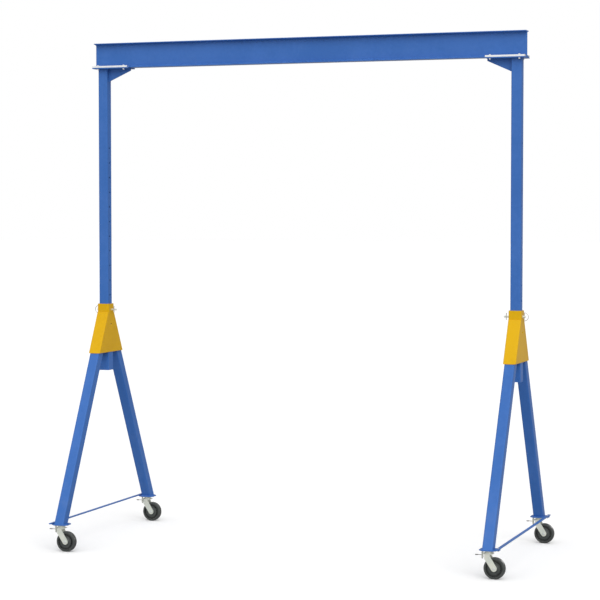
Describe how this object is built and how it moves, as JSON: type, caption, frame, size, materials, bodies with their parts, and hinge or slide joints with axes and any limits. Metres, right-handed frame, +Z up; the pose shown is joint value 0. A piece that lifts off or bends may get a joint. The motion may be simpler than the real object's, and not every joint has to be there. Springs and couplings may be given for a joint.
{
  "type": "portable gantry crane",
  "caption": "Portable gantry crane: an I-beam on telescoping masts, pinned in two A-frames that roll on swivel casters.",
  "frame": {"origin": "on the floor, midway between the two masts and between the front and rear casters", "axes": "+X along the beam to the right, +Y across the A-frames to the rear, +Z up"},
  "size_m": [4.6691, 2.247, 5.1308],
  "materials": {
    "blue_paint": "semi-gloss blue enamel",
    "yellow_paint": "semi-gloss safety yellow enamel",
    "zinc_plated_steel": "satin zinc plate",
    "bright_zinc": "bright zinc plate",
    "bare_steel": "drawn steel wire and turned steel",
    "dark_steel": "dark phosphated steel",
    "black_nylon": "moulded glass-filled nylon, semi-gloss"
  },
  "bodies": {
    "a_frames": {"sleeve_left": "blue_paint", "sleeve_right": "blue_paint", "collar_left": "yellow_paint", "collar_right": "yellow_paint", "bracket_left": "yellow_paint", "bracket_right": "yellow_paint", "tie_bar_left": "blue_paint", "tie_bar_right": "blue_paint", "leg_left_front": "blue_paint", "leg_left_rear": "blue_paint", "leg_right_front": "blue_paint", "leg_right_rear": "blue_paint", "foot_plate_left_front": "blue_paint", "foot_plate_left_rear": "blue_paint", "foot_plate_right_front": "blue_paint", "foot_plate_right_rear": "blue_paint", "caster_plate_left_front": "zinc_plated_steel", "caster_plate_left_rear": "zinc_plated_steel", "caster_plate_right_front": "zinc_plated_steel", "caster_plate_right_rear": "zinc_plated_steel", "tie_bolts": "bright_zinc", "caster_bolts": "bright_zinc", "kingpins": "bright_zinc"},
    "beam_assembly": {"beam": "blue_paint", "mast_left": "blue_paint", "mast_right": "blue_paint", "head_plate_left": "blue_paint", "head_plate_right": "blue_paint", "head_gussets": "blue_paint", "clamp_bars_left": "bright_zinc", "clamp_bars_right": "bright_zinc", "clamp_bolts": "bright_zinc", "clamp_nuts": "bright_zinc"},
    "caster_left_front": {"fork_left_front": "zinc_plated_steel", "axle_left_front": "bright_zinc"},
    "rolling_left_front": {"wheel_left_front": "black_nylon", "bush_left_front": "bare_steel"},
    "swivel_lock_left_front": {"lock_left_front": "dark_steel"},
    "caster_left_rear": {"fork_left_rear": "zinc_plated_steel", "axle_left_rear": "bright_zinc"},
    "rolling_left_rear": {"wheel_left_rear": "black_nylon", "bush_left_rear": "bare_steel"},
    "swivel_lock_left_rear": {"lock_left_rear": "dark_steel"},
    "caster_right_front": {"fork_right_front": "zinc_plated_steel", "axle_right_front": "bright_zinc"},
    "rolling_right_front": {"wheel_right_front": "black_nylon", "bush_right_front": "bare_steel"},
    "swivel_lock_right_front": {"lock_right_front": "dark_steel"},
    "caster_right_rear": {"fork_right_rear": "zinc_plated_steel", "axle_right_rear": "bright_zinc"},
    "rolling_right_rear": {"wheel_right_rear": "black_nylon", "bush_right_rear": "bare_steel"},
    "swivel_lock_right_rear": {"lock_right_rear": "dark_steel"},
    "height_pin_left": {"pin_left": "zinc_plated_steel"},
    "pull_ring_left": {"ring_left": "bare_steel"},
    "pin_clip_left": {"clip_left": "bare_steel"},
    "height_pin_right": {"pin_right": "zinc_plated_steel"},
    "pull_ring_right": {"ring_right": "bare_steel"},
    "pin_clip_right": {"clip_right": "bare_steel"}
  },
  "joints": [
    {"name": "height", "type": "slide", "parent": "a_frames", "child": "beam_assembly", "axis": [0, 0, 1], "range_m": [-1.6764, 0.1524]},
    {"name": "swivel_left_front", "type": "hinge", "parent": "a_frames", "child": "caster_left_front", "pos_m": [-2.19075, -1.0475, 0.25], "axis": [0, 0, 1], "continuous": true},
    {"name": "roll_left_front", "type": "hinge", "parent": "caster_left_front", "child": "rolling_left_front", "pos_m": [-2.13475, -1.0475, 0.1016], "axis": [0, 1, 0], "continuous": true},
    {"name": "lock_left_front", "type": "slide", "parent": "caster_left_front", "child": "swivel_lock_left_front", "axis": [0, 0, 1], "range_m": [0, 0.0125]},
    {"name": "swivel_left_rear", "type": "hinge", "parent": "a_frames", "child": "caster_left_rear", "pos_m": [-2.19075, 1.0475, 0.25], "axis": [0, 0, 1], "continuous": true},
    {"name": "roll_left_rear", "type": "hinge", "parent": "caster_left_rear", "child": "rolling_left_rear", "pos_m": [-2.13475, 1.0475, 0.1016], "axis": [0, 1, 0], "continuous": true},
    {"name": "lock_left_rear", "type": "slide", "parent": "caster_left_rear", "child": "swivel_lock_left_rear", "axis": [0, 0, 1], "range_m": [0, 0.0125]},
    {"name": "swivel_right_front", "type": "hinge", "parent": "a_frames", "child": "caster_right_front", "pos_m": [2.19075, -1.0475, 0.25], "axis": [0, 0, 1], "continuous": true},
    {"name": "roll_right_front", "type": "hinge", "parent": "caster_right_front", "child": "rolling_right_front", "pos_m": [2.24675, -1.0475, 0.1016], "axis": [0, 1, 0], "continuous": true},
    {"name": "lock_right_front", "type": "slide", "parent": "caster_right_front", "child": "swivel_lock_right_front", "axis": [0, 0, 1], "range_m": [0, 0.0125]},
    {"name": "swivel_right_rear", "type": "hinge", "parent": "a_frames", "child": "caster_right_rear", "pos_m": [2.19075, 1.0475, 0.25], "axis": [0, 0, 1], "continuous": true},
    {"name": "roll_right_rear", "type": "hinge", "parent": "caster_right_rear", "child": "rolling_right_rear", "pos_m": [2.24675, 1.0475, 0.1016], "axis": [0, 1, 0], "continuous": true},
    {"name": "lock_right_rear", "type": "slide", "parent": "caster_right_rear", "child": "swivel_lock_right_rear", "axis": [0, 0, 1], "range_m": [0, 0.0125]},
    {"name": "pin_left", "type": "slide", "parent": "a_frames", "child": "height_pin_left", "axis": [-1, 0, 0], "range_m": [0, 0.2]},
    {"name": "ring_left", "type": "hinge", "parent": "height_pin_left", "child": "pull_ring_left", "pos_m": [-2.27155, 0, 2.372], "axis": [0, 0, 1], "range_deg": [-90, 90]},
    {"name": "clip_left", "type": "slide", "parent": "a_frames", "child": "pin_clip_left", "axis": [0, 0, 1], "range_m": [0, 0.08]},
    {"name": "pin_right", "type": "slide", "parent": "a_frames", "child": "height_pin_right", "axis": [1, 0, 0], "range_m": [0, 0.2]},
    {"name": "ring_right", "type": "hinge", "parent": "height_pin_right", "child": "pull_ring_right", "pos_m": [2.27155, 0, 2.372], "axis": [0, 0, 1], "range_deg": [-90, 90]},
    {"name": "clip_right", "type": "slide", "parent": "a_frames", "child": "pin_clip_right", "axis": [0, 0, 1], "range_m": [0, 0.08]}
  ]
}
